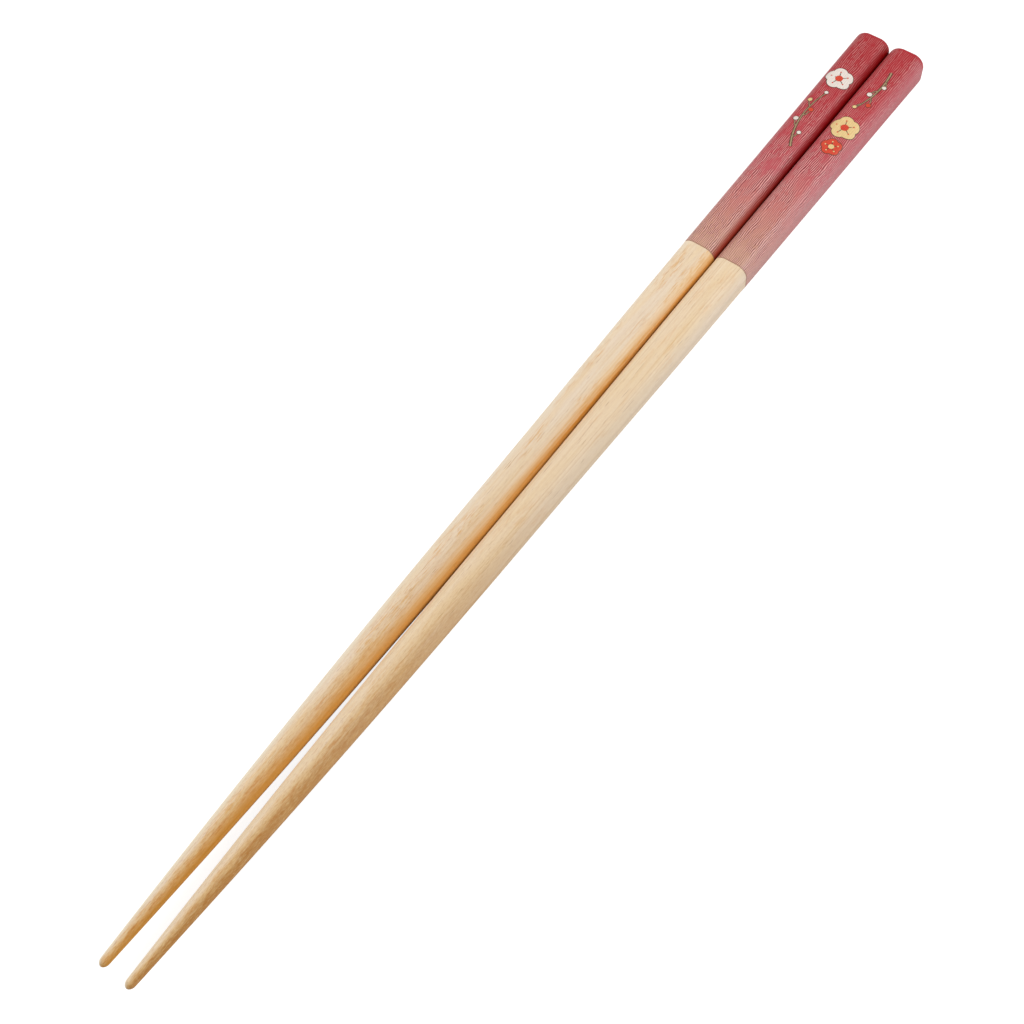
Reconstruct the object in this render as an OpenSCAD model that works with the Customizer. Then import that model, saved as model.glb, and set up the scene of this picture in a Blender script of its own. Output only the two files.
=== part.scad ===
// A pair of tapered wooden chopsticks, lying side by side.
// Each stick is round at the tip and turns into a square with soft edges at the
// handle end, which is lacquered and printed. All sizes are in millimetres.
// +X points along the sticks to the handle ends, +Y to the left stick, +Z up.

/* [Stick] */
// Length of a stick from tip to handle end
stick_l = 230; // [200:1:260]
// Width across the flats at the handle end
handle_w = 7.7; // [6.6:0.1:9]
// Width where the straight taper of the handle ends
waist_w = 6.4; // [5.4:0.1:6.5]
// Distance of that place from the tip
waist_x = 100; // [80:1:125]
// Width of the tip, measured as if it weren't rounded off
tip_w = 1.7; // [1.4:0.1:2.6]
// Growth of the width for each mm of length at the tip
tip_growth = 0.09; // [0.05:0.005:0.11]

/* [Section] */
// Radius of the four long edges at the handle end
edge_r = 2.6; // [1.2:0.1:3]
// Distance from the tip up to which a stick is round
round_x = 94; // [60:1:110]
// Distance from the tip beyond which a stick is a full soft square
square_x = 157; // [130:1:175]

/* [Ends] */
// Length of the rounding at the tip
tip_round_l = 1.1; // [0.6:0.1:2]
// Length of the rounding at the handle end
end_round_l = 1.6; // [0.6:0.05:2.5]
// Fullness of the handle end: 2 is a half ball, more is flatter
end_fullness = 2.6; // [2:0.1:5]

/* [Lacquer] */
// Length of the lacquered handle end
lacquer_l = 65.5; // [50:0.5:80]
// Length over which the lacquer deepens to its full red
fade_l = 25; // [10:1:40]

/* [Print] */
// Width of the cream blossom on the left stick
cream_w = 5.6; // [4:0.1:6]
// Distance of the cream blossom from the handle end
cream_x = 15; // [9:0.5:16]
// Width of the gold blossom on the right stick
gold_w = 5.8; // [4:0.1:6.2]
// Distance of the gold blossom from the handle end
gold_x = 25.5; // [24:0.5:27]
// Width of the red blossom beside the gold one
red_w = 4.2; // [3:0.1:5]
// Length of the twig on the left stick
left_twig_l = 15; // [10:0.5:17]
// Length of the twig on the right stick
right_twig_l = 12; // [8:0.5:14]
// Width of the printed twigs
twig_w = 0.45; // [0.3:0.05:0.8]
// Radius of the curve that the twigs follow
twig_r = 20; // [11:0.5:30]
// Lap of each printed field under the colour around it
print_lap = 0.03; // [0.02:0.01:0.1]

/* [Pair] */
// Clearance between the facing flats of the two sticks
pair_gap = 0.16; // [0.1:0.02:0.4]

/* [Hidden] */

wood_colour = "#E4CAA0";
fade_from = [0.72, 0.47, 0.42];
fade_to = [0.69, 0.26, 0.29];
gold_colour = "#DDBF83";
cream_colour = "#E6DACB";
red_colour = "#D2452F";
twig_colour = "#5C4A38";

// The straight taper of the handle, as half a width, carried on to the tip
taper = (handle_w - waist_w) / 2 / (stick_l - waist_x);
function straight_half(x) = handle_w / 2 - taper * (stick_l - x);

// Below the waist the half width follows a cubic curve: it starts at the tip
// with its own growth and meets the straight taper without a kink
function curved_half(x) =
    let (t = x / waist_x)
    (2 * t * t * t - 3 * t * t + 1) * tip_w / 2
    + (t * t * t - 2 * t * t + t) * waist_x * tip_growth / 2
    + (3 * t * t - 2 * t * t * t) * waist_w / 2
    + (t * t * t - t * t) * waist_x * taper;
function half_width(x) = x < waist_x ? curved_half(x) : straight_half(x);

// Roundness of the section: the edge radius as a share of the half width,
// which grows smoothly to 1, a full circle, towards the tip
edge_share = edge_r / (handle_w / 2);
function roundness(x) =
    let (t = max(0, min(1, (square_x - x) / (square_x - round_x))))
    edge_share + (1 - edge_share) * t * t * (3 - 2 * t);

// Distance from the centre to the outline of a soft square of half width 1
function outline_r(a, k) =
    let (c = max(abs(cos(a)), abs(sin(a))), s = min(abs(cos(a)), abs(sin(a))))
    s <= (1 - k) * c ? 1 / c
    : (1 - k) * (c + s) + sqrt(pow((1 - k) * (c + s), 2) - 2 * pow(1 - k, 2) + k * k);

// Directions of the points of a section: a few on each flat, more on each edge
flat_a = atan(1 - edge_share);
flat_steps = 3;
edge_steps = 7;
quarter = [
    for (i = [0 : flat_steps - 1]) -flat_a + 2 * flat_a * i / flat_steps,
    for (i = [0 : edge_steps - 1]) flat_a + (90 - 2 * flat_a) * i / edge_steps
];
directions = [for (q = [0 : 3]) for (a = quarter) a + 90 * q];

// Stations along the stick, each as [distance from the tip, share of the width]
end_steps = 6;
tip_stations = [
    for (i = [1 : end_steps]) let (a = 90 * i / end_steps) [tip_round_l * (1 - cos(a)), sin(a)]
];
curve_steps = 22;
tip_crowding = 1.3;
curve_l = square_x - tip_round_l;
curve_stations = [
    for (i = [1 : curve_steps]) [tip_round_l + curve_l * pow(i / curve_steps, tip_crowding), 1]
];
rim_crowding = 0.6;
end_stations = [
    for (i = [0 : end_steps])
        let (w = pow(sin(90 * (end_steps + 1 - i) / (end_steps + 1)), rim_crowding))
        [stick_l - end_round_l * (1 - pow(1 - pow(w, end_fullness), 1 / end_fullness)), w]
];
stations = concat(tip_stations, curve_stations, end_stations);

// The centre line of a stick keeps to the straight taper, so the underside of the
// handle lies flat on z = 0 and the tip stays a little above it. side is 1 for the
// left stick and -1 for the right one.
function centre(x, side) =
    let (m = straight_half(x))
    [x - stick_l / 2, side * (m + pair_gap / 2), m];
function section(station, side) =
    let (x = station[0], h = half_width(x) * station[1], k = roundness(x))
    [for (a = directions)
        let (r = h * outline_r(a, k))
        centre(x, side) + [0, r * cos(a), r * sin(a)]];

// The stretch of a stick between two distances from the tip: its sections in
// rings, joined by triangles, and closed by a fan around the centre at each end
module stretch(side, from, to) {
    rings = concat(
        from > 0 ? [[from, 1]] : [],
        [for (s = stations) if (s[0] > from && s[0] < to) s],
        to < stick_l ? [[to, 1]] : []
    );
    n = len(directions);
    last = (len(rings) - 1) * n;
    points = [for (ring = rings) each section(ring, side), centre(from, side), centre(to, side)];
    faces = [
        for (j = [0 : n - 1])
            let (
                next = (j + 1) % n,
                near_end = [last + n, j, next],
                far_end = [last + n + 1, last + next, last + j]
            )
            each concat([near_end, far_end], [
                for (a = [0 : n : last - n])
                    each [[a + j, a + j + n, a + next + n], [a + j, a + next + n, a + next]]
            ])
    ];
    polyhedron(points, faces, convexity = 4);
}

// A plum blossom of five round petals that meet over its centre, as a flat shape
petals = 5;
petal_share = 0.26;
petal_steps = 32;
first_petal = 18;
module blossom(w) {
    petal = w * petal_share;
    for (i = [1 : petals])
        rotate(first_petal + 360 * i / petals)
            translate([w / 2 - petal, 0])
                circle(petal, $fn = petal_steps);
}

// A printed twig: a thin arc that bows sideways, as a flat shape
twig_steps = 128;
module twig(length) {
    half = length / 2;
    translate([0, -sqrt(twig_r * twig_r - half * half)])
        intersection() {
            difference() {
                circle(twig_r + twig_w / 2, $fn = twig_steps);
                circle(twig_r - twig_w / 2, $fn = twig_steps);
            }
            translate([-half, 0]) square([length, 2 * twig_r]);
        }
}

// Carries a flat shape to the top of a stick, at a distance from the handle end
// and to one side of the centre line, as a block that reaches past the surface.
// $lap widens and deepens the block, so that a field laps under its surroundings.
$lap = 0;
module on_top(side, from_end, aside = 0, turn = 0) {
    m = straight_half(stick_l - from_end);
    translate([stick_l / 2 - from_end, side * (m + pair_gap / 2) + aside, m - $lap])
        linear_extrude(handle_w) offset(delta = $lap) rotate(turn) children();
}

// The heart of a blossom, as a flat shape
heart_share = 0.14;
heart_steps = 24;
module heart(w) {
    circle(w * heart_share, $fn = heart_steps);
}

// The print of the left stick: a cream blossom with a red heart above a twig
twig_gap = 2.6;
left_twig_aside = -0.5;
left_twig_turn = 6;
module left_heart() {
    on_top(1, cream_x) heart(cream_w);
}

module left_petals() {
    difference() {
        on_top(1, cream_x) blossom(cream_w);
        left_heart($lap = 0);
    }
}

module left_twig() {
    middle = cream_x + cream_w / 2 + twig_gap + left_twig_l / 2;
    on_top(1, middle, left_twig_aside, left_twig_turn) twig(left_twig_l);
}

// The print of the right stick: a twig, a gold blossom with a red heart below it
// and a smaller red blossom that grows beside the gold one, with a gold heart
red_gap = 0.6;
red_aside = -0.4;
right_twig_aside = 0.5;
right_twig_turn = 174;
module right_gold_heart() {
    on_top(-1, gold_x) heart(gold_w);
}

module right_gold_petals() {
    difference() {
        on_top(-1, gold_x) blossom(gold_w);
        right_gold_heart($lap = 0);
    }
}

red_blossom_x = gold_x + gold_w / 2 + red_gap + red_w / 2;
module right_red_heart() {
    on_top(-1, red_blossom_x, red_aside) heart(red_w);
}

module right_red_petals() {
    difference() {
        on_top(-1, red_blossom_x, red_aside) blossom(red_w);
        right_red_heart($lap = 0);
    }
}

module right_twig() {
    middle = gold_x - gold_w / 2 - twig_gap - right_twig_l / 2;
    on_top(-1, middle, right_twig_aside, right_twig_turn) twig(right_twig_l);
}

// A stick with its lacquer: bare wood, the bands in which the red deepens, and
// the full red, out of which the children, the print, are cut to their colours
fade_steps = 4;
fade_x = stick_l - lacquer_l;
full_red_x = fade_x + fade_l;
module lacquered_stick(side) {
    color(wood_colour) stretch(side, 0, fade_x);
    for (i = [0 : fade_steps - 1])
        color(fade_from + (fade_to - fade_from) * (i + 0.5) / fade_steps)
            stretch(side, fade_x + fade_l * i / fade_steps, fade_x + fade_l * (i + 1) / fade_steps);
    color(fade_to)
        difference() {
            stretch(side, full_red_x, stick_l);
            children();
        }
}

// A field of print: the part of the red stretch that lies under a flat shape
module print_field(side) {
    $lap = print_lap;
    intersection() {
        stretch(side, full_red_x, stick_l);
        union() children();
    }
}

module left_chopstick() {
    lacquered_stick(1) {
        left_heart();
        left_petals();
        left_twig();
    }
    color(red_colour) print_field(1) left_heart();
    color(cream_colour) print_field(1) left_petals();
    color(twig_colour) print_field(1) left_twig();
}

module right_chopstick() {
    lacquered_stick(-1) {
        right_gold_heart();
        right_gold_petals();
        right_red_heart();
        right_red_petals();
        right_twig();
    }
    color(red_colour) print_field(-1) {
        right_gold_heart();
        right_red_petals();
    }
    color(gold_colour) print_field(-1) {
        right_gold_petals();
        right_red_heart();
    }
    color(twig_colour) print_field(-1) right_twig();
}

left_chopstick();
right_chopstick();
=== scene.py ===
"""A pair of tapered wooden chopsticks with a red lacquered, printed handle end.

The sticks lie side by side as the frame has them: +X from the tips to the handle
ends, +Y to the left stick, +Z up. Sizes are written in millimetres and screen
colours from 0 to 255, unless a comment says otherwise.
"""
import math
from typing import NamedTuple

import bpy
import numpy as np
from mathutils import Matrix, Vector, noise


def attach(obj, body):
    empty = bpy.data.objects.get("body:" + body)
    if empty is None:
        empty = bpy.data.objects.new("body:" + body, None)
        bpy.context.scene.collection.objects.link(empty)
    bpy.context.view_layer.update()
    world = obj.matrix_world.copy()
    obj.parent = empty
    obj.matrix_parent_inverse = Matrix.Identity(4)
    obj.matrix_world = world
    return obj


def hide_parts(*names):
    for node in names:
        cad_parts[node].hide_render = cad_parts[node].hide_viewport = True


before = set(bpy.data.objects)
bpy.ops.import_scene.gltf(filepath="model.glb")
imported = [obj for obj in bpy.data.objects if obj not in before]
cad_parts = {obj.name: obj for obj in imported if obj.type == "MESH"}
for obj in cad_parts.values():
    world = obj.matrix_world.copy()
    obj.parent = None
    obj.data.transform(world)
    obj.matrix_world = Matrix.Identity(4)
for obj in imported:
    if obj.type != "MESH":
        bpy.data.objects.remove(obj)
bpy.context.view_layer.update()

MM = 0.001

# Form of a stick, from the tip (x = 0) to the handle end
STICK_L = 230.0
HANDLE_W = 7.7
WAIST_W = 6.4
WAIST_X = 100.0
TIP_W = 1.7
TIP_GROWTH = 0.09
EDGE_R = 2.6
ROUND_X = 94.0
SQUARE_X = 157.0
TIP_ROUND_L = 1.1
END_ROUND_L = 1.6
END_FULLNESS = 2.6
PAIR_GAP = 0.16
LACQUER_L = 65.5
LACQUER_X = STICK_L - LACQUER_L

# Finish of a stick: the coat stands a little proud of the bare wood, and
# hand sanding leaves the surface slightly uneven. Both go inwards from the form.
# The unevenness has its length along a stick, its rate around it, a shift from one
# stick to the other, and the stretches over which it comes in at the two ends.
COAT = 0.04
COAT_EDGE = 0.12
UNEVEN = 0.035
UNEVEN_L = 22.0
UNEVEN_AROUND = 1.3
UNEVEN_SHIFT = 7
UNEVEN_FROM_TIP = 12
UNEVEN_FROM_END = 6

# Mesh of a stick: the spacing of its rings and their distance from the rounded ends,
# the rings at the coat's edge and the room around it, the steps of the rounded ends,
# and the steps on each flat and each long edge of a section
RING_SPACING = 0.75
RING_FROM_TIP = 0.7
RING_FROM_END = 0.3
COAT_RINGS = (-COAT_EDGE, -COAT_EDGE / 2, 0.0, 0.3)
COAT_ROOM = 0.5
TIP_STEPS = 14
END_STEPS = 16
END_CROWDING = 0.6
FLAT_STEPS = 6
EDGE_STEPS = 18

# Texture layout of a stick: the number of strips and the margin around each
UV_STRIPS = 3
UV_MARGIN = 0.012

# Print, measured from the handle end
CREAM_W = 5.6
CREAM_X = 15.0
GOLD_W = 5.8
GOLD_X = 25.5
RED_W = 4.2
RED_GAP = 0.6
RED_ASIDE = -0.4
LEFT_TWIG_L = 15.0
LEFT_TWIG_ASIDE = -0.5
LEFT_TWIG_TURN = 6
RIGHT_TWIG_L = 12.0
RIGHT_TWIG_ASIDE = 0.5
RIGHT_TWIG_TURN = 174
TWIG_R = 20.0
TWIG_GAP = 2.6
PETALS = 5
PETAL_SHARE = 0.26
HEART_SHARE = 0.14
FIRST_PETAL = math.radians(18)
SPRIG_BEND = 0.5

# Mesh of the print: points around a spot and around a blossom, their rings from the
# edge to the middle, the share of the innermost one, and points along twigs and sprigs
SPOT_POINTS = 40
SPOT_RINGS = 7
SPOT_MIDDLE = 0.02
BLOSSOM_POINTS = 120
BLOSSOM_RINGS = 13
BLOSSOM_MIDDLE = 0.01
TWIG_POINTS = 25
SPRIG_POINTS = 9

# Ink: the height of its lowest layer above the coat, the rise from one layer to the
# next, and the dark outline around petals and buds
INK_RISE = 0.012
LAYER_RISE = 0.008
PETAL_OUTLINE = 0.12
BUD_OUTLINE = 0.11

# Stamens: how far they reach as a share of the blossom, and their knobs
STAMEN_SHARE = 0.31
STAMEN_KNOB_R = 0.16

# Widths of printed lines, at their start and at their end
STAMEN_LINE = (0.20, 0.10)
TWIG_OUTLINE = (0.66, 0.32)
TWIG_CORE = (0.32, 0.12)
SPRIG_OUTLINE = (0.42, 0.22)
SPRIG_CORE = (0.18, 0.08)

# Floor and world: light that the floor sends back, its shade and its own light as
# the camera sees it, and the light of the white surroundings
FLOOR_HALF = 4000.0
FLOOR_BOUNCE = 0.82
FLOOR_SHADE = 0.36
FLOOR_GLOW = 0.86
WORLD_LIGHT = 0.38

# Camera, as fitted to the outlines in the photograph
IMAGE_PX = 1024
SENSOR = 36.0
FOCAL_PX = 1527.6
VIEW_AZIMUTH = math.radians(-46.74)
VIEW_ELEVATION = math.radians(60.77)
VIEW_ROLL = math.radians(-6.97)
VIEW_DISTANCE = 266.5
VIEW_TARGET = (-15.71, -1.18, 4.0)
CLIP_START = 10.0


# Look


class Tint(NamedTuple):
    """A colour that comes in between two values of a pattern, up to a strength."""

    colour: tuple
    start: float
    full: float
    strength: float


class Step(NamedTuple):
    """A smooth step between two values of a pattern, and what it gives at either one."""

    start: float
    full: float
    low: float = 0.0
    high: float = 1.0


class Streaks(NamedTuple):
    """A noise pattern: the length and width of its streaks, its detail and roughness."""

    length: float
    width: float
    detail: int = 2
    rough: float = 0.5


class Look(NamedTuple):
    """What tells the surface of one stick from the other's."""

    # Side of the pair on which the stick lies
    side: int
    # Two tones of its pale wood, and the turn of its growth lines in degrees
    tones: tuple
    grain_angle: float
    growth: Tint
    fleck: Tint
    # Warm tone towards the tip, and painted shade that makes the side facing right darker and warmer, by
    # how far the surface faces right
    golden_tone_and_painted_shade: Tint
    ruddy_painted_shade: Tint
    # Painted light on the side that faces the other stick, which lightens the dark seam of the gap
    gap: Tint
    # Strength of the painted sheen on the left-facing side at the handle
    painted_left_sheen: float
    # Speed at which the lacquer deepens along the handle
    deepening: float


LOOKS = {
    "left_chopstick": Look(
        side=1,
        tones=((232, 212, 188), (233, 208, 173)),
        grain_angle=78,
        growth=Tint((208, 172, 126), 0.52, 0.70, 0.2),
        fleck=Tint((216, 162, 96), 0.46, 0.62, 0.6),
        golden_tone_and_painted_shade=Tint((236, 182, 94), -0.45, 0.3, 0.6),
        ruddy_painted_shade=Tint((224, 147, 46), 0.1, 0.85, 0.92),
        gap=Tint((252, 198, 112), 0.90, 0.99, 0.75),
        painted_left_sheen=0.4,
        deepening=1.12,
    ),
    "right_chopstick": Look(
        side=-1,
        tones=((233, 210, 180), (232, 206, 168)),
        grain_angle=18,
        growth=Tint((208, 172, 126), 0.52, 0.70, 0.5),
        fleck=Tint((216, 162, 96), 0.46, 0.62, 0.3),
        golden_tone_and_painted_shade=Tint((228, 176, 94), -0.45, 0.3, 0.6),
        ruddy_painted_shade=Tint((206, 141, 60), 0.1, 0.85, 0.92),
        gap=Tint((255, 232, 190), 0.90, 0.99, 0.75),
        painted_left_sheen=0.15,
        deepening=0.98,
    ),
}

# Strength of the sheen on all surfaces. It dies away on the left stick's inner
# side, where there is only the dark gap to reflect.
SHEEN = 0.4

# Stretches along a stick, in the frame's x: from where the wood's warm tone and
# painted shade begin to where they are fullest near the tip, and from where the
# handle's own tints (painted sheen and painted shade) begin to where they are full
WARM_FROM = 5.0
WARM_TO = 5.0 - STICK_L / 2
HANDLE_FROM = -50.0
HANDLE_TO = 35.0

# Patterns in the wood
CLOUDS = Streaks(24, 2.6)
GROWTH_BENDS = Streaks(90, 9, 1)
FIBRES = Streaks(16, 0.30, 3, 0.65)
FLECK_PATCHES = Streaks(12, 2.2, 1)
FLECKS = Streaks(2.4, 0.26, 2, 0.6)
PORES = Streaks(4.0, 0.17, 1)
MOTTLE = Streaks(2.6, 0.42, 3, 0.6)
GRIT = Streaks(0.7, 0.16, 2, 0.6)
CLOUD_STEP = Step(0.34, 0.66)
PATCH_STEP = Step(0.50, 0.64)

# Growth lines: how many to a millimetre of depth, and how far they wander
GROWTH_LINES = 2.1
GROWTH_WANDER = 2.2

# Tints of the wood that are the same on both sticks
DARK_FIBRE = Tint((216, 182, 134), 0.42, 0.72, 0.35)
PALE_FIBRE = Tint((240, 224, 200), 0.44, 0.28, 0.35)
PORE = Tint((160, 112, 66), 0.68, 0.76, 0.6)
DARK_BLOTCH = Tint((196, 120, 44), 0.50, 0.68, 0.5)
PALE_BLOTCH = Tint((240, 190, 118), 0.48, 0.34, 0.45)
DARK_GRIT = Tint((184, 124, 62), 0.50, 0.70, 0.32)
PALE_GRIT = Tint((250, 224, 170), 0.50, 0.30, 0.32)
# Painted sheen on the left-facing side, its colour at the handle and at the tip
PAINTED_LEFT_SHEEN_HANDLE = (250, 240, 222)
PAINTED_LEFT_SHEEN_TIP = (249, 236, 208)

# Where the blotches and the painted sheen of the left-facing side show, by how far the surface faces
# right
BLOTCHED_SIDE = Step(-0.2, 0.5, 0.15, 1.0)
PAINTED_LEFT_SHEEN_SIDE = Step(-0.25, -0.75)

# How far the mottle and the fibres ruffle the borders of the painted shade, towards the tip and in the
# gap
MOTTLE_RUFFLE = 1.1
FIBRE_RUFFLE = 0.35

# Share of a tint away from the tip or the handle, and its gain or loss there: for the grit,
# the painted shade of the gap, the painted sheen of the left-facing side and the painted
# light on the faces of the gap
GRIT_SHARE = 0.35
GRIT_TIP_GAIN = 0.65
PAINTED_GAP_SHADE_SHARE = 0.55
PAINTED_GAP_SHADE_HANDLE_GAIN = 0.4
PAINTED_LEFT_SHEEN_TIP_GAIN = 0.35
PAINTED_GAP_LIGHT_SHARE = 1.0
PAINTED_GAP_LIGHT_TIP_GAIN = -0.7

# Sides of the pair, by how far the surface faces right: painted shade on the left
# stick's inner side, in the wood and in the lacquer, and a painted sheen on the right
# stick's outer side
PAINTED_GAP_SHADE_HALO = Tint((238, 184, 104), 0.29, 0.88, 0.5)
PAINTED_GAP_SHADE = Tint((210, 138, 22), 0.64, 0.98, 1.0)
PAINTED_GAP_SHADE_COAT_FROM = 0.52
PAINTED_GAP_SHADE_COAT_TO = 0.92
PAINTED_GAP_SHADE_COAT = ((156, 52, 32), (124, 4, 5))
PAINTED_RIGHT_SHEEN_WOOD = Tint((236, 222, 208), 0.45, 0.95, 0.42)
PAINTED_RIGHT_SHEEN_COAT = Tint((216, 164, 172), 0.4, 0.9, 0.22)

# Lacquer: its colours as it deepens along the handle, the number of its fine lines
# around a stick, its patterns, how far they turn the lines and ruffle the deepening,
# how the lines break and fade, their tints, and the brown rim at the coat's start
DEPTHS = [
    (0.0, (201, 157, 133)),
    (0.12, (198, 138, 120)),
    (0.24, (196, 117, 110)),
    (0.40, (190, 86, 92)),
    (0.52, (184, 66, 74)),
    (0.72, (177, 44, 54)),
    (1.0, (167, 31, 40)),
]
LINES_AROUND = 70
LINE_BENDS = Streaks(2.4, 1.1, 1)
LINE_SWAY = Streaks(9, 5, 0)
LINE_BREAKS = Streaks(1.3, 0.5, 1)
COAT_CLOUDS = Streaks(7, 3)
COAT_PATCHES = Streaks(5, 2.2, 1)
BENDS_TURN = 9.0
SWAY_TURN = 14.0
COAT_RUFFLE = 0.10
BREAK_STEP = Step(0.34, 0.56, 0.35, 1.0)
COAT_PATCH_STEP = Step(0.34, 0.60, 0.45, 1.0)
LINES_FADE = Step(0.30, 0.80, 1.0, 0.5)
# How the painted shade on the left stick's inner side turns from thin to deep along the handle
PAINTED_GAP_SHADE_DEEPENING = Step(0.0, 0.5)
DARK_LINE = Tint((96, 24, 32), 0.1, -0.7, 0.85)
PALE_LINE = Tint((240, 182, 175), 0.1, 0.7, 0.72)
COAT_RIM = Tint((150, 108, 78), 0.35, 0.1, 0.7)

# Where the lines of the lacquer and its painted shade and painted sheen on the sides end, before the
# handle's end face
FACE_FROM = STICK_L / 2 - 2.2
FACE_TO = STICK_L / 2 - 0.8

# Ink: its fine speckle, the lines of the coat that show through it, and where either
# brings in an ink's second colour, up to a strength
SPECKLE = Streaks(0.5, 0.25)
INK_BENDS = Streaks(2.4, 1.1)
INK_LINES = 15.0
SPECKLE_TINT = (0.35, 0.75, 0.6)
INK_LINE_TINT = (0.2, -0.8, 0.5)

# Relief: its height and its strength
WOOD_RELIEF = (0.02, 0.4)
COAT_RELIEF = (0.012, 0.5)
INK_RELIEF = (0.010, 0.5)

# Roughness, by the fibres of the wood, the lines of the coat and the ink's speckle
WOOD_ROUGH = Step(0.3, 0.7, 0.42, 0.52)
COAT_ROUGH = Step(-0.8, 0.8, 0.46, 0.38)
INK_ROUGH = Step(0.3, 0.7, 0.42, 0.5)


# Form

TAPER = (HANDLE_W - WAIST_W) / 2 / (STICK_L - WAIST_X)


def smooth(t):
    """A smooth step from 0 to 1 as t goes from 0 to 1."""
    t = np.clip(t, 0.0, 1.0)
    return t * t * (3 - 2 * t)


def straight_half(x):
    """Half width of the straight taper, which is also the height of the centre line."""
    return HANDLE_W / 2 - TAPER * (STICK_L - x)


def half_width(x):
    """Half width across the flats: a cubic curve up to the waist, then the straight taper."""
    t = np.clip(x / WAIST_X, 0, 1)
    curve = (
        (2 * t**3 - 3 * t**2 + 1) * TIP_W / 2
        + (t**3 - 2 * t**2 + t) * WAIST_X * TIP_GROWTH / 2
        + (3 * t**2 - 2 * t**3) * WAIST_W / 2
        + (t**3 - t**2) * WAIST_X * TAPER
    )
    return np.where(x < WAIST_X, curve, straight_half(x))


def roundness(x):
    """Edge radius as a share of the half width: 1 is a full circle."""
    share = EDGE_R / (HANDLE_W / 2)
    return share + (1 - share) * smooth((SQUARE_X - x) / (SQUARE_X - ROUND_X))


def end_share(x):
    """Share of the width that the rounded ends leave."""
    tip = np.clip((TIP_ROUND_L - x) / TIP_ROUND_L, 0, 1)
    end = np.clip((x - STICK_L + END_ROUND_L) / END_ROUND_L, 0, 1)
    return np.sqrt(1 - tip**2) * (1 - end**END_FULLNESS) ** (1 / END_FULLNESS)


def outline_r(angle, k):
    """Distance from the centre to the outline of a soft square of half width 1."""
    c = np.maximum(abs(np.cos(angle)), abs(np.sin(angle)))
    s = np.minimum(abs(np.cos(angle)), abs(np.sin(angle)))
    a = 1 - k
    edge = a * (c + s) + np.sqrt(np.maximum((a * (c + s)) ** 2 - 2 * a**2 + k**2, 0))
    return np.where(s <= a * c, 1 / c, edge)


def stations():
    """Places along the stick for its rings, closer together where it curves."""
    turn = np.linspace(0, math.pi / 2, TIP_STEPS + 1)[1:]
    tip = TIP_ROUND_L * (1 - np.cos(turn))
    first = TIP_ROUND_L + RING_FROM_TIP
    body = np.arange(first, STICK_L - END_ROUND_L - RING_FROM_END, RING_SPACING)
    drop = np.sin(np.linspace(math.pi / 2, 0, END_STEPS + 1)[:-1]) ** END_CROWDING
    end = STICK_L - END_ROUND_L * (1 - (1 - drop**END_FULLNESS) ** (1 / END_FULLNESS))
    line = LACQUER_X + np.array(COAT_RINGS)
    body = body[abs(body - LACQUER_X) > COAT_ROOM]
    return np.unique(np.round(np.concatenate([tip, body, line, end]), 5))


def section_angles():
    """Directions of a ring's points: few on the flats and more on the edges."""
    flat = math.atan(1 - EDGE_R / (HANDLE_W / 2))
    quarter = np.concatenate([
        np.linspace(-flat, flat, FLAT_STEPS + 1)[:-1],
        np.linspace(flat, math.pi / 2 - flat, EDGE_STEPS + 1)[:-1],
    ])
    return np.concatenate([quarter + q * math.pi / 2 for q in range(4)])


def inset(x, angle, side):
    """How far the real surface lies inside the form: bare wood under the coat's edge, and sanding."""
    coat = COAT * smooth((LACQUER_X - x) / COAT_EDGE)
    spot = Vector((
        x / UNEVEN_L,
        UNEVEN_AROUND * math.cos(angle) + UNEVEN_SHIFT * side,
        UNEVEN_AROUND * math.sin(angle),
    ))
    near_end = min(1.0, x / UNEVEN_FROM_TIP, (STICK_L - x) / UNEVEN_FROM_END)
    return coat + UNEVEN * near_end * (0.5 + 0.5 * noise.noise(spot))


def centre(x, side):
    """Point of a stick's centre line, in millimetres in the frame."""
    m = straight_half(x)
    return x - STICK_L / 2, side * (m + PAIR_GAP / 2), m


def ring(x, side, angles):
    """One ring of points of a stick, in millimetres in the frame."""
    h = half_width(x) * end_share(x)
    shape = h * outline_r(angles, roundness(x))
    sanded = np.array([inset(x, a, side) for a in angles]) * min(1.0, h)
    r = shape - sanded
    along, across, up = centre(x, side)
    return np.stack([np.full_like(r, along), across + r * np.cos(angles), up + r * np.sin(angles)], -1)


def unwrap(mesh, rings, count, length):
    """Lays the stick's surface out in strips, each an equal share of its length."""
    layer = mesh.uv_layers.new(name="OFBake")
    tip_pole = rings * count
    for poly in mesh.polygons:
        corners = [mesh.loops[i].vertex_index for i in poly.loop_indices]
        around = []
        along = []
        for v in corners:
            if v < tip_pole:
                around.append(v % count)
                along.append(length[v // count])
            else:
                around.append(None)
                along.append(0.0 if v == tip_pole else length[-1])
        seam = max(a for a in around if a is not None) == count - 1 and 0 in around
        strip = min(UV_STRIPS - 1, int(UV_STRIPS * np.mean(along) / length[-1]))
        for i, a, s in zip(poly.loop_indices, around, along):
            turn = 0.5 if a is None else a / count
            if seam and a == 0:
                turn = 1.0
            u = UV_STRIPS * s / length[-1] - strip
            layer.data[i].uv = (
                UV_MARGIN + (1 - 2 * UV_MARGIN) * u,
                (strip + UV_MARGIN + (1 - 2 * UV_MARGIN) * turn) / UV_STRIPS,
            )


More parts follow.
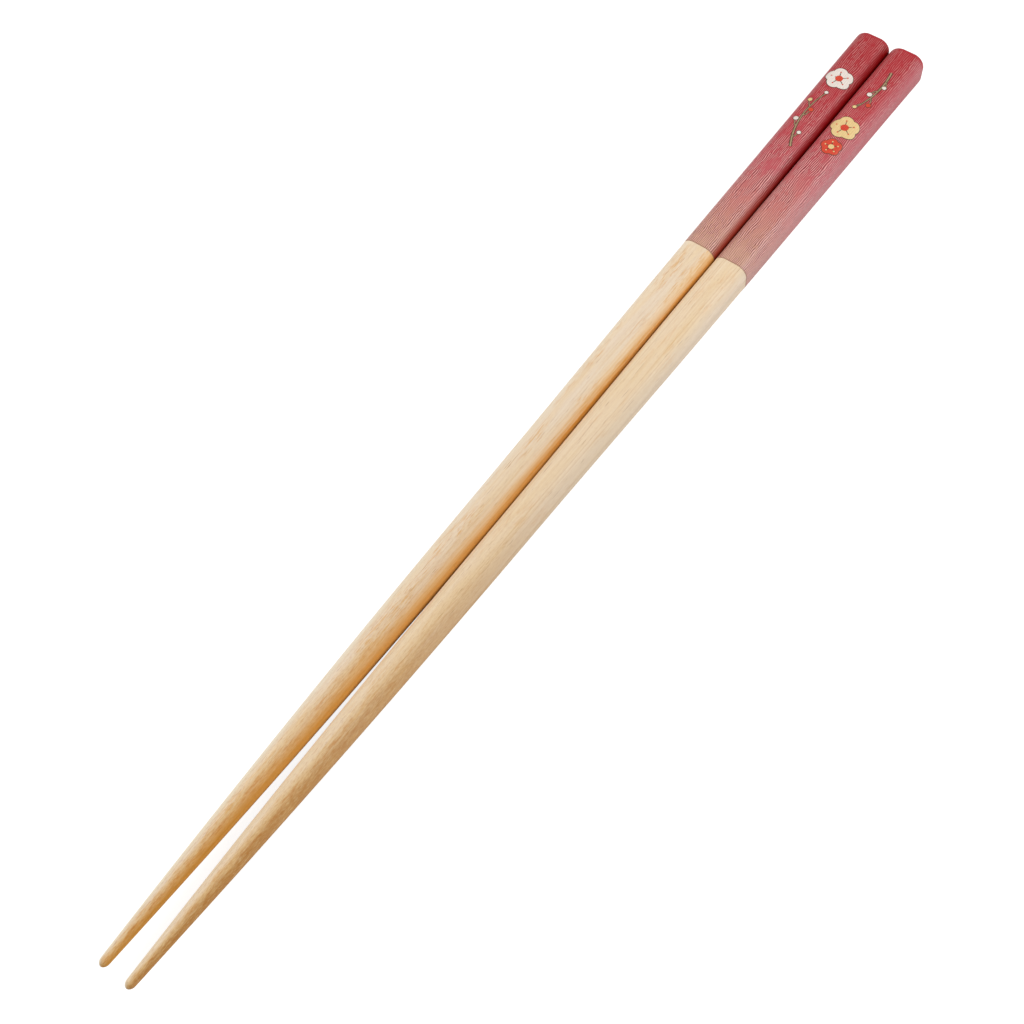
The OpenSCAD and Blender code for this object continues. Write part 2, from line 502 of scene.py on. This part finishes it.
def make_stick(name, side, wood, lacquer):
    """A whole stick as one closed mesh, with bare wood and lacquer as its two materials."""
    angles = section_angles()
    places = stations()
    count = len(angles)
    rings = len(places)
    points = [ring(x, side, angles) for x in places]
    points += [[centre(x, side)] for x in (0.0, STICK_L)]
    points = np.concatenate(points)
    nxt = np.roll(np.arange(count), -1)
    faces = []
    for i in range(rings - 1):
        a = i * count + np.arange(count)
        b = i * count + nxt
        faces += np.stack([a, b, b + count, a + count], -1).tolist()
    last = (rings - 1) * count
    tip_pole = rings * count
    end_pole = tip_pole + 1
    for j in range(count):
        faces.append([tip_pole, int(nxt[j]), j])
        faces.append([end_pole, last + j, last + int(nxt[j])])
    mesh = bpy.data.meshes.new(name + "_finished")
    mesh.from_pydata((points * MM).tolist(), [], faces)
    mesh.materials.append(wood)
    mesh.materials.append(lacquer)
    for poly in mesh.polygons:
        poly.use_smooth = True
        poly.material_index = int(poly.center.x / MM + STICK_L / 2 > LACQUER_X)
    reach = half_width(places) * end_share(places)
    steps = np.hypot(np.diff(places, prepend=0), np.diff(reach, prepend=0))
    unwrap(mesh, rings, count, np.cumsum(steps))
    mesh.update()
    stick = bpy.data.objects.new(name + "_finished", mesh)
    bpy.context.scene.collection.objects.link(stick)
    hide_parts(name)
    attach(stick, "root")


# Materials


def linear(colour):
    """A screen colour as a linear colour with alpha."""
    parts = [c / 255 for c in colour]
    parts = [c / 12.92 if c <= 0.04045 else ((c + 0.055) / 1.055) ** 2.4 for c in parts]
    return (*parts, 1.0)


class Tree:
    """The nodes of one material, written as calls that return their output."""

    def __init__(self, name):
        self.material = bpy.data.materials.new(name)
        self.material.use_nodes = True
        self.nodes = self.material.node_tree.nodes
        self.links = self.material.node_tree.links
        self.shader = self.nodes["Principled BSDF"]
        where = self.node("TexCoord", output="Object")
        self.place = self.node("VectorMath", {0: where, "Scale": 1 / MM}, operation="SCALE")

    def set(self, socket, value):
        if isinstance(value, bpy.types.NodeSocket):
            self.links.new(value, socket)
        else:
            socket.default_value = value

    def node(self, kind, inputs=(), output=0, **settings):
        made = self.nodes.new("ShaderNode" + kind)
        for key, value in settings.items():
            setattr(made, key, value)
        for key, value in dict(inputs).items():
            self.set(made.inputs[key], value)
        return made.outputs[output]

    def math(self, operation, a, b=0.0, c=0.0):
        return self.node("Math", {0: a, 1: b, 2: c}, operation=operation)

    def product(self, a, b):
        return self.math("MULTIPLY", a, b)

    def scaled(self, value, factor, start):
        """The value times a factor, from a start."""
        return self.math("MULTIPLY_ADD", value, factor, start)

    def split(self):
        """The three coordinates of the place in the frame."""
        made = self.nodes.new("ShaderNodeSeparateXYZ")
        self.links.new(self.place, made.inputs[0])
        return made.outputs

    def around(self, side):
        """Position across and above a stick's centre line, and how far it faces right."""
        x, y, z = self.split()
        height = self.scaled(x, TAPER, HANDLE_W / 2 - TAPER * STICK_L / 2)
        middle = self.scaled(height, side, side * PAIR_GAP / 2)
        v = self.math("SUBTRACT", y, middle)
        w = self.math("SUBTRACT", z, height)
        far = self.math("SQRT", self.math("MULTIPLY_ADD", v, v, self.product(w, w)))
        right = self.math("DIVIDE", self.product(v, -1.0), far)
        return x, v, w, right

    def pattern(self, streaks):
        """Noise in streaks along the stick."""
        shrink = (1 / streaks.length, 1 / streaks.width, 1 / streaks.width)
        vector = self.node("VectorMath", {0: self.place, 1: shrink}, operation="MULTIPLY")
        return self.node("TexNoise", {
            "Vector": vector,
            "Scale": 1.0,
            "Detail": streaks.detail,
            "Roughness": streaks.rough,
        })

    def layers(self, depth):
        """Noise in flat layers, by depth."""
        inputs = {"W": depth, "Scale": 1.0, "Detail": 2.0}
        return self.node("TexNoise", inputs, noise_dimensions="1D")

    def fit(self, value, low, high, to_low=0.0, to_high=1.0):
        """A smooth step of value from low to high."""
        inputs = {
            "Value": value,
            "From Min": low,
            "From Max": high,
            "To Min": to_low,
            "To Max": to_high,
        }
        return self.node("MapRange", inputs, interpolation_type="SMOOTHSTEP")

    def mix(self, factor, a, b):
        made = self.nodes.new("ShaderNodeMix")
        made.data_type = "RGBA"
        self.set(made.inputs["Factor"], factor)
        self.set(made.inputs[6], a)
        self.set(made.inputs[7], b)
        return made.outputs[2]

    def tint(self, colour, value, tint, share=None):
        """Brings a tint into a colour by a pattern's value, all of it or a share."""
        factor = self.fit(value, tint.start, tint.full, 0.0, tint.strength)
        if share is not None:
            factor = self.product(share, factor)
        return self.mix(factor, colour, linear(tint.colour))

    def ramp(self, value, stops):
        made = self.nodes.new("ShaderNodeValToRGB")
        elements = made.color_ramp.elements
        while len(elements) < len(stops):
            elements.new(1.0)
        for element, (position, colour) in zip(elements, stops):
            element.position = position
            element.color = linear(colour)
        self.links.new(value, made.inputs[0])
        return made.outputs[0]

    def bump(self, height, depth, strength):
        return self.node("Bump", {"Height": height, "Distance": depth * MM, "Strength": strength})

    def finish(self, colour, roughness, normal, dull=None):
        """Sets the shader's inputs. dull is the share of the sheen that is missing, where it changes."""
        sheen = self.shader.inputs["Specular IOR Level"]
        sheen.default_value = SHEEN
        if dull is not None:
            self.set(sheen, self.scaled(dull, -SHEEN, SHEEN))
        self.set(self.shader.inputs["Base Color"], colour)
        self.set(self.shader.inputs["Roughness"], roughness)
        self.set(self.shader.inputs["Normal"], normal)
        return self.material


def wood_grain(t, look, v, w, fibres):
    """Colour of the plain wood: two tones, growth lines, fibres, flecks and pores."""
    first, second = [linear(tone) for tone in look.tones]
    colour = t.mix(t.fit(t.pattern(CLOUDS), *CLOUD_STEP), first, second)
    turn = math.radians(look.grain_angle)
    depth = t.math("MULTIPLY_ADD", v, math.cos(turn), t.product(w, math.sin(turn)))
    depth = t.scaled(t.pattern(GROWTH_BENDS), GROWTH_WANDER, depth)
    colour = t.tint(colour, t.layers(t.product(depth, GROWTH_LINES)), look.growth)
    colour = t.tint(colour, fibres, DARK_FIBRE)
    colour = t.tint(colour, fibres, PALE_FIBRE)
    patches = t.fit(t.pattern(FLECK_PATCHES), *PATCH_STEP)
    colour = t.tint(colour, t.pattern(FLECKS), look.fleck, patches)
    return t.tint(colour, t.pattern(PORES), PORE)


def warm_tip_and_painted_shade(t, look, colour, tip, right):
    """Warmer, mottled and gritty wood towards the tip, with painted shade that darkens and warms the
    side that faces right.
    """
    mottle = t.pattern(MOTTLE)
    # Painted shade: darker, warmer colour on the side that faces right, over the warm tone of the tip
    facing = t.scaled(t.math("SUBTRACT", mottle, 0.5), MOTTLE_RUFFLE, right)
    colour = t.tint(colour, facing, look.golden_tone_and_painted_shade, tip)
    colour = t.tint(colour, facing, look.ruddy_painted_shade, tip)
    blotches = t.product(tip, t.fit(right, *BLOTCHED_SIDE))
    colour = t.tint(colour, mottle, DARK_BLOTCH, blotches)
    colour = t.tint(colour, mottle, PALE_BLOTCH, blotches)
    grit = t.pattern(GRIT)
    gritty = t.scaled(tip, GRIT_TIP_GAIN, GRIT_SHARE)
    colour = t.tint(colour, grit, DARK_GRIT, gritty)
    return t.tint(colour, grit, PALE_GRIT, gritty)


def bare_wood(name, look):
    """Pale sealed wood, warmer towards the tip, with painted shade on the side facing right towards the
    tip and between the two sticks, painted light on the faces of the gap, and painted sheen on the
    left-facing side and on the right stick's outer side.
    """
    t = Tree(name)
    x, v, w, right = t.around(look.side)
    tip = t.fit(x, WARM_FROM, WARM_TO)
    handle = t.fit(x, HANDLE_FROM, HANDLE_TO)
    fibres = t.pattern(FIBRES)
    colour = wood_grain(t, look, v, w, fibres)
    colour = warm_tip_and_painted_shade(t, look, colour, tip, right)
    # Painted shade on the left stick's inner side, where it faces the other stick: a warm halo and a
    # dark warm band, whose mask also dulls the sheen
    if look.side > 0:
        facing = t.scaled(t.math("SUBTRACT", fibres, 0.5), FIBRE_RUFFLE, right)
        colour = t.tint(colour, facing, PAINTED_GAP_SHADE_HALO)
        inner = t.fit(facing, PAINTED_GAP_SHADE.start, PAINTED_GAP_SHADE.full, 0.0, PAINTED_GAP_SHADE.strength)
        inner = t.product(inner, t.scaled(handle, PAINTED_GAP_SHADE_HANDLE_GAIN, PAINTED_GAP_SHADE_SHARE))
        colour = t.mix(inner, colour, linear(PAINTED_GAP_SHADE.colour))
    else:
        inner = None
        # Painted sheen: a paler, greyer colour on the right stick's outer side at the handle
        colour = t.tint(colour, right, PAINTED_RIGHT_SHEEN_WOOD, handle)
    # Painted sheen: paler colour on the left-facing side of both sticks
    painted_left_sheen = t.product(t.scaled(tip, PAINTED_LEFT_SHEEN_TIP_GAIN, look.painted_left_sheen), t.fit(right, *PAINTED_LEFT_SHEEN_SIDE))
    colour = t.mix(painted_left_sheen, colour, t.mix(tip, linear(PAINTED_LEFT_SHEEN_HANDLE), linear(PAINTED_LEFT_SHEEN_TIP)))
    # Painted light: paler colour on the side that faces the other stick, which lightens the dark seam of
    # the gap
    inwards = t.product(right, look.side)
    colour = t.tint(colour, inwards, look.gap, t.scaled(tip, PAINTED_GAP_LIGHT_TIP_GAIN, PAINTED_GAP_LIGHT_SHARE))
    normal = t.bump(fibres, *WOOD_RELIEF)
    return t.finish(colour, t.fit(fibres, *WOOD_ROUGH), normal, inner)


def lacquer_lines(t, v, w):
    """The fine wavy lines of the coat that run along the stick, from -1 to 1."""
    phase = t.product(t.math("ARCTAN2", w, v), LINES_AROUND)
    phase = t.scaled(t.pattern(LINE_BENDS), BENDS_TURN, phase)
    phase = t.scaled(t.pattern(LINE_SWAY), SWAY_TURN, phase)
    broken = t.fit(t.pattern(LINE_BREAKS), *BREAK_STEP)
    return t.product(t.math("SINE", phase), broken)


def red_lacquer(name, look):
    """Red coat over the grain, thin and brownish at its edge and deep at the handle end, with painted
    shade on the left stick's inner side and a painted sheen on the right stick's outer side.
    """
    t = Tree(name)
    x, v, w, right = t.around(look.side)
    from_edge = t.math("SUBTRACT", x, LACQUER_X - STICK_L / 2)
    along = t.math("DIVIDE", from_edge, LACQUER_L)
    clouds = t.math("SUBTRACT", t.pattern(COAT_CLOUDS), 0.5)
    along = t.scaled(clouds, COAT_RUFFLE, along)
    along = t.product(along, look.deepening)
    colour = t.ramp(along, DEPTHS)
    body = t.fit(x, FACE_TO, FACE_FROM)
    lines = t.product(lacquer_lines(t, v, w), body)
    patches = t.fit(t.pattern(COAT_PATCHES), *COAT_PATCH_STEP)
    strength = t.product(patches, t.fit(along, *LINES_FADE))
    colour = t.tint(colour, lines, DARK_LINE, strength)
    colour = t.tint(colour, lines, PALE_LINE, strength)
    if look.side > 0:
        # Painted shade: darker red on the left stick's inner side, whose mask also dulls the sheen
        inner = t.product(body, t.fit(right, PAINTED_GAP_SHADE_COAT_FROM, PAINTED_GAP_SHADE_COAT_TO))
        thin, deep = [linear(coat) for coat in PAINTED_GAP_SHADE_COAT]
        colour = t.mix(inner, colour, t.mix(t.fit(along, *PAINTED_GAP_SHADE_DEEPENING), thin, deep))
    else:
        inner = None
        # Painted sheen: a paler pink on the right stick's outer side
        colour = t.tint(colour, right, PAINTED_RIGHT_SHEEN_COAT, body)
    colour = t.tint(colour, from_edge, COAT_RIM)
    normal = t.bump(lines, *COAT_RELIEF)
    return t.finish(colour, t.fit(lines, *COAT_ROUGH), normal, inner)


def print_ink(name, colour, shade):
    """Opaque print that lets the lines of the coat below it show faintly."""
    t = Tree(name)
    across = t.split()[1]
    lines = t.math("SINE", t.math("MULTIPLY_ADD", across, INK_LINES, t.pattern(INK_BENDS)))
    speckle = t.pattern(SPECKLE)
    mixed = t.tint(linear(colour), speckle, Tint(shade, *SPECKLE_TINT))
    mixed = t.tint(mixed, lines, Tint(shade, *INK_LINE_TINT))
    normal = t.bump(lines, *INK_RELIEF)
    return t.finish(mixed, t.fit(speckle, *INK_ROUGH), normal)


# Print


def stroke(path, widths):
    """Two rows of points on either side of a path, as a strip."""
    path = np.array(path, float)
    run = np.gradient(path, axis=0)
    run /= np.hypot(run[:, 0], run[:, 1])[:, None]
    widths = np.linspace(*widths, len(path))[:, None]
    aside = np.stack([-run[:, 1], run[:, 0]], -1) * widths / 2
    return path + aside, path - aside


class Print:
    """A thin printed motif on top of a stick, drawn in millimetres from a point on its centre line."""

    def __init__(self, name, side, from_end, inks):
        self.name = name
        self.side = side
        self.x0 = STICK_L - from_end
        self.inks = inks
        self.points = []
        self.faces = []
        self.slots = []

    def lift(self, flat, layer):
        """Puts flat points onto the stick, each layer of ink a little above the last."""
        rise = INK_RISE + LAYER_RISE * layer
        for u, v in flat:
            x = self.x0 + u
            h = half_width(x)
            k = h * roundness(x)
            over = max(0.0, abs(v) - (h - k))
            up = math.sqrt(max(k * k - over * over, 0.0))
            normal = Vector((0, math.copysign(over, v), up)).normalized()
            along, across, middle = centre(x, self.side)
            self.points.append((
                along,
                across + v + normal.y * rise,
                middle + h - k + up + normal.z * rise,
            ))

    def grid(self, rows, layer, ink, closed):
        """Adds a sheet of rows of points, each row as long as the last."""
        start = len(self.points)
        n = len(rows[0])
        for row in rows:
            self.lift(row, layer)
        for i in range(len(rows) - 1):
            for j in range(n if closed else n - 1):
                a = start + i * n + j
                b = start + i * n + (j + 1) % n
                self.faces.append((a, b, b + n, a + n))
                self.slots.append(ink)

    def disc(self, middle, radius, layer, ink):
        """A round spot."""
        a = np.linspace(0, 2 * math.pi, SPOT_POINTS, endpoint=False)
        edge = radius * np.stack([np.cos(a), np.sin(a)], -1)
        rows = [middle + share * edge for share in np.linspace(1, SPOT_MIDDLE, SPOT_RINGS)]
        self.grid(rows, layer, ink, True)

    def petals(self, aside, petal, reach, layer, ink):
        """Round petals that meet over their centre, as one sheet."""
        a = np.linspace(0, 2 * math.pi, BLOSSOM_POINTS, endpoint=False)
        step = 2 * math.pi / PETALS
        off = (a - FIRST_PETAL + step / 2) % step - step / 2
        edge = reach * np.cos(off) + np.sqrt(petal**2 - (reach * np.sin(off)) ** 2)
        edge = edge[:, None] * np.stack([np.cos(a), np.sin(a)], -1)
        shares = np.linspace(1, BLOSSOM_MIDDLE, BLOSSOM_RINGS)
        rows = [(0, aside) + share * edge for share in shares]
        self.grid(rows, layer, ink, True)

    def line(self, path, widths, layer, ink):
        """A stroke whose width changes from the start to the end of its path."""
        self.grid(stroke(path, widths), layer, ink, False)

    def blossom(self, aside, width, outline, petals, heart):
        """Round petals on a dark outline, around a small heart with stamens."""
        petal = width * PETAL_SHARE
        reach = width / 2 - petal
        self.petals(aside, petal + PETAL_OUTLINE, reach, 0, outline)
        self.petals(aside, petal, reach, 1, petals)
        self.disc((0, aside), width * HEART_SHARE, 3, heart)
        for k in range(PETALS):
            a = FIRST_PETAL + 2 * math.pi * k / PETALS
            way = np.array([math.cos(a), math.sin(a)])
            base = (0, aside) + width * HEART_SHARE * way
            knob = (0, aside) + width * STAMEN_SHARE * way
            self.line([base, knob], STAMEN_LINE, 2, outline)
            self.disc(knob, STAMEN_KNOB_R, 3, heart)

    def twig(self, aside, length, turn, outline, core, sprigs):
        """A slender arc of a twig with short side sprigs that end in buds.

        A sprig is given as its place along the twig as a share, its turn from the
        twig, its length, and the radius and ink of its bud.
        """
        turn = math.radians(turn)
        c, s = math.cos(turn), math.sin(turn)
        low = math.sqrt(TWIG_R**2 - length**2 / 4)

        def at(share):
            u = length * (share - 0.5)
            v = math.sqrt(TWIG_R**2 - u**2) - low
            return np.array([c * u - s * v, aside + s * u + c * v])

        path = [at(share) for share in np.linspace(0, 1, TWIG_POINTS)]
        self.line(path, TWIG_OUTLINE, 0, outline)
        self.line(path, TWIG_CORE, 1, core)
        for share, side_turn, reach, bud, ink in sprigs:
            bend = np.linspace(0, 1, SPRIG_POINTS)
            a = turn + side_turn - SPRIG_BEND * side_turn * bend
            way = np.stack([np.cos(a), np.sin(a)], -1)
            sprig = at(share) + reach * bend[:, None] * way
            self.line(sprig, SPRIG_OUTLINE, 0, outline)
            self.line(sprig, SPRIG_CORE, 1, core)
            self.disc(sprig[-1], bud + BUD_OUTLINE, 0, outline)
            self.disc(sprig[-1], bud, 2, ink)

    def make(self):
        mesh = bpy.data.meshes.new(self.name)
        mesh.from_pydata((np.array(self.points) * MM).tolist(), [], self.faces)
        for ink in self.inks:
            mesh.materials.append(ink)
        for poly, slot in zip(mesh.polygons, self.slots):
            poly.material_index = slot
            poly.use_smooth = True
        for poly in [p for p in mesh.polygons if p.normal.z < 0]:
            poly.flip()
        mesh.update()
        made = bpy.data.objects.new(self.name, mesh)
        bpy.context.scene.collection.objects.link(made)
        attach(made, "root")


def add_print():
    """The decoration: plum blossoms and budding twigs, one of each on either stick."""
    inks = [
        print_ink("dark_ink", (92, 72, 54), (62, 40, 32)),
        print_ink("tan_ink", (176, 150, 112), (140, 112, 84)),
        print_ink("gold_ink", (230, 200, 142), (214, 182, 122)),
        print_ink("cream_ink", (232, 222, 212), (214, 200, 190)),
        print_ink("vermilion_ink", (216, 74, 48), (190, 56, 38)),
    ]
    dark, tan, gold, cream, red = range(len(inks))
    left, right = 1, -1

    cream_flower = Print("cream_blossom_print", left, CREAM_X, inks)
    cream_flower.blossom(0, CREAM_W, dark, cream, red)
    cream_flower.make()

    middle = CREAM_X + CREAM_W / 2 + TWIG_GAP + LEFT_TWIG_L / 2
    left_twig = Print("left_twig_print", left, middle, inks)
    left_twig.twig(LEFT_TWIG_ASIDE, LEFT_TWIG_L, LEFT_TWIG_TURN, dark, tan, [
        (0.16, -0.9, 1.7, 0.42, cream),
        (0.34, 0.85, 2.2, 0.50, cream),
        (0.55, -0.8, 2.3, 0.50, red),
        (0.74, 0.8, 1.9, 0.45, gold),
        (1.0, -0.5, 0.9, 0.38, cream),
    ])
    left_twig.make()

    gold_flower = Print("gold_blossom_print", right, GOLD_X, inks)
    gold_flower.blossom(0, GOLD_W, dark, gold, red)
    gold_flower.make()

    below = GOLD_X + GOLD_W / 2 + RED_GAP + RED_W / 2
    red_flower = Print("red_blossom_print", right, below, inks)
    red_flower.blossom(RED_ASIDE, RED_W, dark, red, gold)
    red_flower.make()

    middle = GOLD_X - GOLD_W / 2 - TWIG_GAP - RIGHT_TWIG_L / 2
    right_twig = Print("right_twig_print", right, middle, inks)
    right_twig.twig(RIGHT_TWIG_ASIDE, RIGHT_TWIG_L, RIGHT_TWIG_TURN, dark, tan, [
        (0.22, 0.85, 1.7, 0.42, cream),
        (0.46, -0.8, 2.0, 0.50, cream),
        (0.66, 0.85, 2.1, 0.50, red),
        (0.86, -0.8, 1.6, 0.40, gold),
    ])
    right_twig.make()


# Surroundings


def add_floor():
    """A white floor that stays white to the camera and keeps the soft shadow."""
    half = FLOOR_HALF * MM
    corners = [(-half, -half, 0), (half, -half, 0), (half, half, 0), (-half, half, 0)]
    mesh = bpy.data.meshes.new("floor")
    mesh.from_pydata(corners, [], [(0, 1, 2, 3)])
    t = Tree("floor_white")
    bounce = t.node("BsdfDiffuse", {"Color": (FLOOR_BOUNCE, FLOOR_BOUNCE, FLOOR_BOUNCE, 1)})
    shade = t.node("BsdfDiffuse", {"Color": (FLOOR_SHADE, FLOOR_SHADE, FLOOR_SHADE, 1)})
    glow = t.node("Emission", {"Color": (1, 1, 1, 1), "Strength": FLOOR_GLOW})
    both = t.node("AddShader", {0: shade, 1: glow})
    seen = t.node("LightPath", output="Is Camera Ray")
    shown = t.node("MixShader", {0: seen, 1: bounce, 2: both})
    t.links.new(shown, t.nodes["Material Output"].inputs["Surface"])
    mesh.materials.append(t.material)
    floor = bpy.data.objects.new("floor", mesh)
    bpy.context.scene.collection.objects.link(floor)


def add_world():
    """Even white surroundings: full white where the camera sees them, softer as light."""
    world = bpy.data.worlds.new("surroundings")
    bpy.context.scene.world = world
    world.use_nodes = True
    nodes = world.node_tree.nodes
    links = world.node_tree.links
    nodes.clear()
    path = nodes.new("ShaderNodeLightPath")
    strength = nodes.new("ShaderNodeMapRange")
    strength.inputs["To Min"].default_value = WORLD_LIGHT
    strength.inputs["To Max"].default_value = 1.0
    links.new(path.outputs["Is Camera Ray"], strength.inputs["Value"])
    background = nodes.new("ShaderNodeBackground")
    background.inputs["Color"].default_value = (1, 1, 1, 1)
    links.new(strength.outputs[0], background.inputs["Strength"])
    output = nodes.new("ShaderNodeOutputWorld")
    links.new(background.outputs[0], output.inputs["Surface"])


def add_lamp(name, place, target, size, power):
    """A square soft lamp that points at a place on the pair, in metres and watts."""
    light = bpy.data.lights.new(name, "AREA")
    light.shape = "SQUARE"
    light.size = size
    light.energy = power
    lamp = bpy.data.objects.new(name, light)
    lamp.location = place
    lamp.rotation_euler = (Vector(target) - Vector(place)).to_track_quat("-Z", "Y").to_euler()
    bpy.context.scene.collection.objects.link(lamp)


def add_camera():
    """The photograph's view: from above, on the tips' side and the right stick's side."""
    level = math.cos(VIEW_ELEVATION)
    back = Vector((
        math.sin(VIEW_AZIMUTH) * level,
        -math.cos(VIEW_AZIMUTH) * level,
        math.sin(VIEW_ELEVATION),
    ))
    right = (-back).cross(Vector((0, 0, 1))).normalized()
    up = right.cross(-back)
    rolled_right = math.cos(VIEW_ROLL) * right + math.sin(VIEW_ROLL) * up
    rolled_up = math.cos(VIEW_ROLL) * up - math.sin(VIEW_ROLL) * right
    data = bpy.data.cameras.new("camera")
    data.sensor_width = SENSOR
    data.lens = FOCAL_PX / IMAGE_PX * SENSOR
    data.clip_start = CLIP_START * MM
    camera = bpy.data.objects.new("camera", data)
    turn = Matrix((rolled_right, rolled_up, back)).transposed().to_4x4()
    place = (Vector(VIEW_TARGET) + VIEW_DISTANCE * back) * MM
    camera.matrix_world = Matrix.Translation(place) @ turn
    bpy.context.scene.collection.objects.link(camera)
    bpy.context.scene.camera = camera


for name, look in LOOKS.items():
    wood = bare_wood(name + "_bare_wood", look)
    lacquer = red_lacquer(name + "_red_lacquer", look)
    make_stick(name, look.side, wood, lacquer)
add_print()
add_floor()
add_world()
add_lamp("left_lamp", place=(-0.08, 0.54, 0.52), target=(0.0, 0.0, 0.0), size=0.4, power=2.9)
add_lamp("right_lamp", place=(0.17, -0.19, 0.22), target=(0.07, 0.0, 0.0), size=0.18, power=0.57)
add_camera()
bpy.context.scene.view_settings.view_transform = "Standard"
